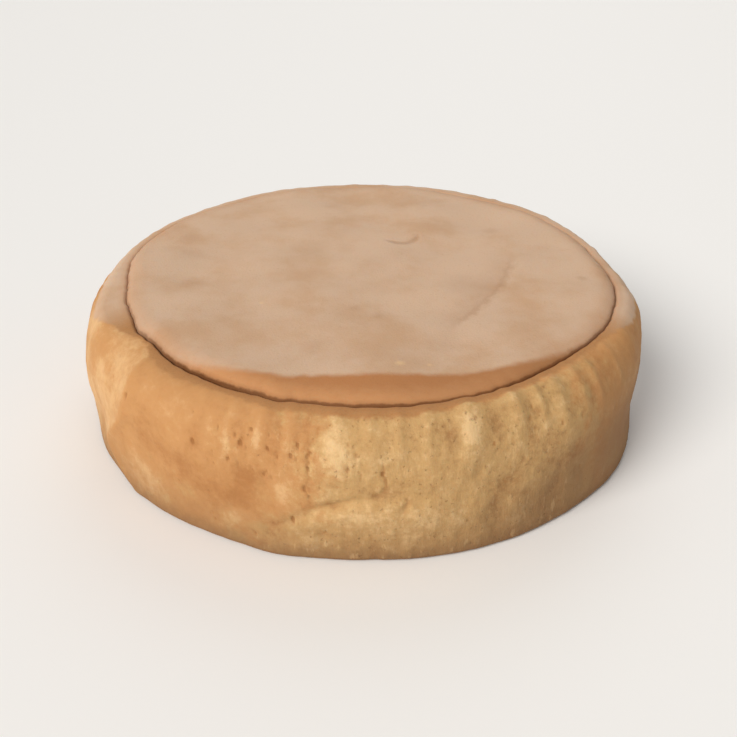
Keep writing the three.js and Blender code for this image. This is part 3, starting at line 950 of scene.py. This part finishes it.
def noise(tree, vector, size, detail, roughness):
    """Noise with blobs about size millimetres across, between 0 and 1."""
    node = tree.nodes.new("ShaderNodeTexNoise")
    inputs = {"Vector": vector, "Scale": 1.0 / size, "Detail": detail, "Roughness": roughness}
    return set_inputs(tree, node, inputs).outputs["Fac"]


# Pits: the fineness of the noise that makes them ragged and how far it moves them, for a distance
# apart of 1, then the largest radius and the soft edge
PIT_WARP_SCALE = 2.4
PIT_WARP_REACH = 1.3
PIT_RADIUS = 0.5
PIT_EDGE = (0.10, -0.14)


def pits(tree, place, apart, density):
    """Ragged pits in cells of a size in millimetres: 1 inside, 0 outside. Each cell draws its own
    radius, and the denser they are, the more cells have one above zero."""
    warp = tree.nodes.new("ShaderNodeTexNoise")
    scale = PIT_WARP_SCALE / apart
    set_inputs(tree, warp, {"Vector": place, "Scale": scale, "Detail": 3.0, "Roughness": 0.6})
    moved = tree.nodes.new("ShaderNodeVectorMath")
    moved.operation = "MULTIPLY_ADD"
    set_inputs(tree, moved, {0: warp.outputs["Color"], 1: (PIT_WARP_REACH * apart,) * 3, 2: place})
    cells = tree.nodes.new("ShaderNodeTexVoronoi")
    set_inputs(tree, cells, {"Vector": moved.outputs[0], "Scale": 1.0 / apart})
    draw = tree.nodes.new("ShaderNodeSeparateXYZ")
    tree.links.new(cells.outputs["Color"], draw.inputs[0])
    above_zero = maths(tree, "SUBTRACT", maths(tree, "ADD", draw.outputs[0], density), 1.0)
    inside = maths(tree, "SUBTRACT", cells.outputs["Distance"], times(tree, above_zero, PIT_RADIUS))
    return soft_step(tree, inside, *PIT_EDGE)


def mark(tree, name):
    """A number stored on the mesh's points."""
    node = tree.nodes.new("ShaderNodeAttribute")
    node.attribute_name = name
    return node.outputs["Fac"]


# Soft marks of the crust: x, y, radius, and strength (over 0 browner, under 0 paler)
CRUST_SPOTS = (
    (-68, 27, 4.5, 0.18), (-65, 12, 6.0, 0.10), (-60, -12, 6.0, 0.12), (78, -9, 2.4, 0.22),
    (50, 35, 4.0, 0.14), (-3, -33, 2.5, 0.14), (5, -38, 2.6, 0.20), (-15, -58, 6.0, 0.12),
    (25, -55, 8.0, 0.14), (36, -14, 9.0, 0.12), (2, 2, 8.0, 0.10), (11, -70, 1.6, -0.5),
    (-35, -28, 1.0, -0.4), (20, -70, 1.0, -0.4), (-14, 62, 4.0, 0.10), (12, 60, 6.0, 0.08),
)

# Colours as linear red, green and blue: the top crust, partly a painted haze, and its lip,
# toasted crust that is also used for painted shade, the crease's painted shade, the rim's tan
# (partly painted shade), the wall's skin and crumb, the holes' painted shade, and the base's
# brown, which is also used for painted shade
CRUST_PALE_AND_HAZE = (0.622, 0.424, 0.286)
CRUST_GOLD = (0.542, 0.326, 0.186)
CRUST_LIP = (0.460, 0.196, 0.070)
CRUST_LIP_PALE = (0.560, 0.275, 0.115)
CRUST_TOAST_AND_SHADE = (0.300, 0.125, 0.045)
CREASE_SHADE = (0.150, 0.052, 0.013)
RIM_TAN_AND_SHADE = (0.460, 0.222, 0.082)
SKIN_TAN = (0.550, 0.275, 0.104)
SKIN_ORANGE = (0.400, 0.170, 0.054)
SKIN_PALE = (0.720, 0.450, 0.220)
CRUMB_CREAM = (0.780, 0.530, 0.270)
CRUMB_YELLOW = (0.570, 0.342, 0.140)
CRUMB_SHADE = (0.370, 0.188, 0.070)
PORE_SHADE = (0.300, 0.118, 0.032)
BASE_BROWN_AND_SHADE = (0.240, 0.125, 0.054)

# The crescent dent of the top: its arc's middle and radius, and a point on its open side
BOW_MIDDLE = (14.6, 27.6)
BOW_RADIUS = 5.4
BOW_OPEN_SIDE = (12.5, 33.5)
# The middle of the stretch along which the wrinkle's line shows
WRINKLE_SHOWN = (43.0, -20.0)


def crust_marks(tree, place, ragged, crust):
    """The crust's soft spots, and the painted shade of a crescent dent and of a long wrinkle, each an
    arc a little ragged, with more painted shade on the wrinkle's sunk inner side. Returns the colour
    and how strongly the crescent shows."""
    flat = tree.nodes.new("ShaderNodeVectorMath")
    flat.operation = "MULTIPLY"
    set_inputs(tree, flat, {0: place, 1: (1.0, 1.0, 0.0)})

    def distance(x, y):
        """Distance from a point of the top, in millimetres."""
        node = tree.nodes.new("ShaderNodeVectorMath")
        node.operation = "DISTANCE"
        return set_inputs(tree, node, {0: flat.outputs[0], 1: (x, y, 0.0)}).outputs["Value"]

    def arc(middle, radius, wobble):
        """Distance outside a circle, ragged by a wobble, both in millimetres."""
        jitter = scaled(tree, ragged, wobble, -radius - wobble / 2)
        return maths(tree, "ADD", distance(*middle), jitter)

    for x, y, radius, strength in CRUST_SPOTS:
        reach = scaled(tree, ragged, 0.9 * radius, distance(x, y))
        over = CRUST_TOAST_AND_SHADE if strength > 0 else CRUMB_CREAM
        crust = layer(tree, crust, over, reach, 1.8 * radius, 0.5 * radius, most=abs(strength))

    bow = maths(tree, "ABSOLUTE", arc(BOW_MIDDLE, BOW_RADIUS, wobble=0.8))
    past_open_side = soft_step(tree, distance(*BOW_OPEN_SIDE), 8.0, 10.5)
    bow_line = times(tree, soft_step(tree, bow, 2.4, 0.2), past_open_side)
    wrinkle = arc(WRINKLE_MIDDLE, WRINKLE_RADIUS, wobble=6.0)
    length = soft_step(tree, distance(*WRINKLE_SHOWN), 36.0, 20.0)
    line = times(tree, soft_step(tree, maths(tree, "ABSOLUTE", wrinkle), 2.4, 0.1), length)
    inner = times(tree, soft_step(tree, wrinkle, -11.0, -0.5), length)
    inner = times(tree, inner, soft_step(tree, wrinkle, 1.0, -1.0))
    # Painted shade: the wrinkle's sunk inner side, the crescent dent and the wrinkle's fold.
    crust = blend(tree, times(tree, inner, 0.20), crust, CRUST_TOAST_AND_SHADE)
    crust = blend(tree, times(tree, bow_line, 0.32), crust, CRUST_TOAST_AND_SHADE)
    crust = blend(tree, times(tree, line, 0.20), crust, CRUST_TOAST_AND_SHADE)
    return crust, bow_line


def crust_colour(tree, place, right, ragged, fleck):
    """The top crust: pale gold with faint browner clouds, the pale partly a painted haze, browner
    towards the lip, then the caramel crescent, partly the lip's browner crust and partly painted
    shade, darker to the right by painted shade, fine dark flecks and the marks. Returns the colour,
    the pale crust alone, and how strongly the crescent dent shows."""
    from_crease = mark(tree, "from_crease")
    clouds = noise(tree, place, size=30.0, detail=4.0, roughness=0.6)
    pale = layer(tree, CRUST_PALE_AND_HAZE, CRUST_GOLD, clouds, 0.40, 0.70, most=0.8)
    wander = scaled(tree, clouds, 3.0, from_crease)
    lip = soft_step(tree, wander, -8.0, 1.0, 0.0, 0.3)
    lip = times(tree, lip, soft_step(tree, from_crease, 4.0, 0.5))
    pale = blend(tree, lip, pale, CRUST_LIP)
    shade = scaled(tree, ragged, 6.0, from_crease)
    caramel = layer(tree, CRUST_LIP, CRUST_LIP_PALE, shade, -7.0, 2.5, most=0.8)
    # Painted shade: the crescent darkens towards the right side, as if away from the light.
    caramel = layer(tree, caramel, CRUST_TOAST_AND_SHADE, right, 5.0, 65.0, most=0.60)
    within = scaled(tree, ragged, 1.6, mark(tree, "from_band"))
    crust = layer(tree, pale, caramel, within, -1.0, 2.4)
    crust = layer(tree, crust, CRUST_TOAST_AND_SHADE, fleck, 0.52, 0.85, most=0.30)
    crust, dent = crust_marks(tree, place, ragged, crust)
    return crust, pale, dent


def wall_colour(tree, place, right, height, ragged, fine, streak):
    """The wall: skin blotched with orange beside crumb streaked upright, both paler on lumps and
    darker between, partly painted light and shade on the mesh's relief. It is darker towards the
    base, partly a baked brown base and mostly painted shade, and darker over most of the right
    side, which is painted shade."""
    large = scaled(tree, noise(tree, place, size=9.0, detail=4.0, roughness=0.68), 3.0, -1.5)
    # Partly painted light and shade: paler on the mesh's lumps and darker between them.
    rough = scaled(tree, fine, 0.80, times(tree, mark(tree, "lumps"), 0.25))
    rough = scaled(tree, streak, 0.15, rough)
    rough = times(tree, rough, soft_step(tree, mark(tree, "open"), 0.0, 0.8, 0.45, 1.0))
    tone = scaled(tree, large, 0.65, rough)
    tone = maths(tree, "ADD", tone, mark(tree, "tone"))
    skin = layer(tree, SKIN_TAN, SKIN_PALE, tone, 0.0, 1.2, most=0.8)
    skin = layer(tree, skin, SKIN_ORANGE, tone, 0.1, -1.2, most=0.85)
    crumb = layer(tree, CRUMB_YELLOW, CRUMB_CREAM, tone, -0.1, 1.1, most=0.85)
    crumb = layer(tree, crumb, CRUMB_SHADE, tone, 0.0, -1.2, most=0.85)
    blotch = noise(tree, place, size=11.0, detail=5.0, roughness=0.7)
    torn_edge = scaled(tree, blotch, 2.4, mark(tree, "crumb"))
    torn_edge = scaled(tree, rough, 0.15, torn_edge)
    wall = layer(tree, skin, crumb, torn_edge, 1.35, 1.95)
    # Painted shade: the wall darkens from about 22 mm down, and on the right side from near the top, as
    # if away from the light. The last layer is a browner base, partly baked crust and partly painted
    # shade.
    burnt_and_shaded = scaled(tree, ragged, -6.0, height)
    low = scaled(tree, soft_step(tree, right, 20.0, 85.0), -24.0, burnt_and_shaded)
    wall = layer(tree, wall, BASE_BROWN_AND_SHADE, low, 22.0, -10.0, most=0.70)
    return layer(tree, wall, BASE_BROWN_AND_SHADE, burnt_and_shaded, 4.5, -4.0, most=0.80)


def bubbled(tree, place, upright, fine, wall):
    """The wall with its bubbles: small pits in cells of two sizes, cream flecks, and the larger
    holes of the mesh, ragged, the pits and holes darkened by painted shade. Returns the colour and
    where the small pits are."""
    pitted = mark(tree, "pitted")
    pore = mark(tree, "pore")
    holes = pits(tree, place, 2.9, times(tree, pitted, 0.50))
    holes = maths(tree, "MAXIMUM", holes, pits(tree, place, 1.6, times(tree, pitted, 0.85)))
    flecks = pits(tree, upright, 1.9, times(tree, pitted, 1.30))
    wall = blend(tree, times(tree, flecks, 0.22), wall, CRUMB_CREAM)
    torn = soft_step(tree, scaled(tree, fine, 0.15, pore), 0.22, 0.62)
    hollow = maths(tree, "MAXIMUM", times(tree, holes, 0.36), torn)
    # Painted shade in the holes: an orange tint round them, then a dark fill, darker in deeper holes.
    wall = layer(tree, wall, SKIN_ORANGE, pore, 0.0, 0.35, most=0.25)
    wall = blend(tree, times(tree, hollow, 0.55), wall, PORE_SHADE)
    return wall, holes


def rim_and_crease(tree, ragged, fleck, crust, pale, wall):
    """From the crease out: a strip of tan crust, partly painted shade under the lip, with a painted
    shadow of the lip by the crease, pale round the back, partly a painted haze, that ends
    raggedly, then the wall. The crease is a thin line of painted shade, darker in places, with a
    soft edge of painted shade."""
    from_crease = mark(tree, "from_crease")
    shown = mark(tree, "line")
    rim = layer(tree, RIM_TAN_AND_SHADE, CRUST_TOAST_AND_SHADE, fleck, 0.45, 0.8, most=0.4)
    # Painted shadow of the lip on the rim, strongest by the crease.
    near = times(tree, soft_step(tree, from_crease, 4.0, 0.2, 0.0, 0.45), shown)
    rim = blend(tree, near, rim, CRUST_TOAST_AND_SHADE)
    rim = blend(tree, mark(tree, "bare"), rim, pale)
    frayed = scaled(tree, ragged, -3.6, mark(tree, "from_ledge"))
    rim = layer(tree, rim, wall, frayed, -2.4, -0.6)
    colour = layer(tree, crust, rim, from_crease, -0.1, 0.3)
    # Painted shade along the crease: a soft edge and a dark core.
    wandering = maths(tree, "ADD", scaled(tree, ragged, 0.9, from_crease), -0.30)
    line = maths(tree, "ABSOLUTE", wandering)
    edge = times(tree, soft_step(tree, line, 1.5, 0.2, 0.0, 0.55), shown)
    colour = blend(tree, edge, colour, CRUST_TOAST_AND_SHADE)
    core = times(tree, soft_step(tree, line, 0.60, 0.10), times(tree, shown, 1.1))
    return blend(tree, core, colour, CREASE_SHADE)


SPONGE_ROUGHNESS = 0.78
SPONGE_SHINE = 0.25
# Light goes a little way into the sponge, in metres for red, green and blue
GLOW = 0.22
GLOW_REACH = 0.002
GLOW_COLOURS = (1.0, 0.5, 0.25)
# Bump heights in millimetres: crumb's streaks, fine grain, small pits and the crescent dent
STREAK_BUMP = 0.10
GRAIN_BUMP = 0.10
PIT_BUMP = -0.20
DENT_BUMP = -0.30
BUMP_UNIT = 0.001
BUMP_STRENGTH = 0.9


def sponge_material():
    """Matte baked sponge: crust inside and just outside the crease, skin and crumb on the wall."""
    material = bpy.data.materials.new("sponge")
    material.use_nodes = True
    tree = material.node_tree
    shader = tree.nodes["Principled BSDF"]
    place = object_millimetres(tree)
    upright = object_millimetres(tree, (1.0, 1.0, 0.35))
    split = tree.nodes.new("ShaderNodeSeparateXYZ")
    tree.links.new(place, split.inputs[0])
    right, _, height = split.outputs
    fleck = noise(tree, place, size=0.8, detail=3.0, roughness=0.7)
    ragged = noise(tree, place, size=3.0, detail=4.0, roughness=0.6)
    fine = scaled(tree, noise(tree, place, size=1.9, detail=5.0, roughness=0.75), 3.0, -1.5)
    streak = scaled(tree, noise(tree, upright, size=2.8, detail=3.0, roughness=0.6), 3.2, -1.6)

    crust, pale, dent = crust_colour(tree, place, right, ragged, fleck)
    wall = wall_colour(tree, place, right, height, ragged, fine, streak)
    wall, holes = bubbled(tree, place, upright, fine, wall)
    colour = rim_and_crease(tree, ragged, fleck, crust, pale, wall)
    tree.links.new(colour, shader.inputs["Base Color"])

    coarse = times(tree, scaled(tree, fine, 0.16, streak), mark(tree, "open"))
    level = scaled(tree, coarse, STREAK_BUMP, times(tree, fleck, GRAIN_BUMP))
    level = scaled(tree, holes, PIT_BUMP, level)
    level = scaled(tree, dent, DENT_BUMP, level)
    rise = tree.nodes.new("ShaderNodeBump")
    set_inputs(tree, rise, {"Height": level, "Distance": BUMP_UNIT, "Strength": BUMP_STRENGTH})
    tree.links.new(rise.outputs["Normal"], shader.inputs["Normal"])

    shader.inputs["Roughness"].default_value = SPONGE_ROUGHNESS
    shader.inputs["Specular IOR Level"].default_value = SPONGE_SHINE
    shader.inputs["Subsurface Weight"].default_value = GLOW
    shader.inputs["Subsurface Radius"].default_value = GLOW_COLOURS
    shader.inputs["Subsurface Scale"].default_value = GLOW_REACH
    return material


cake = bpy.data.objects.new("sponge_cake_baked", cake_mesh())
scene.collection.objects.link(cake)
cake.data.materials.append(sponge_material())
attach(cake, "root")
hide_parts("sponge_cake")
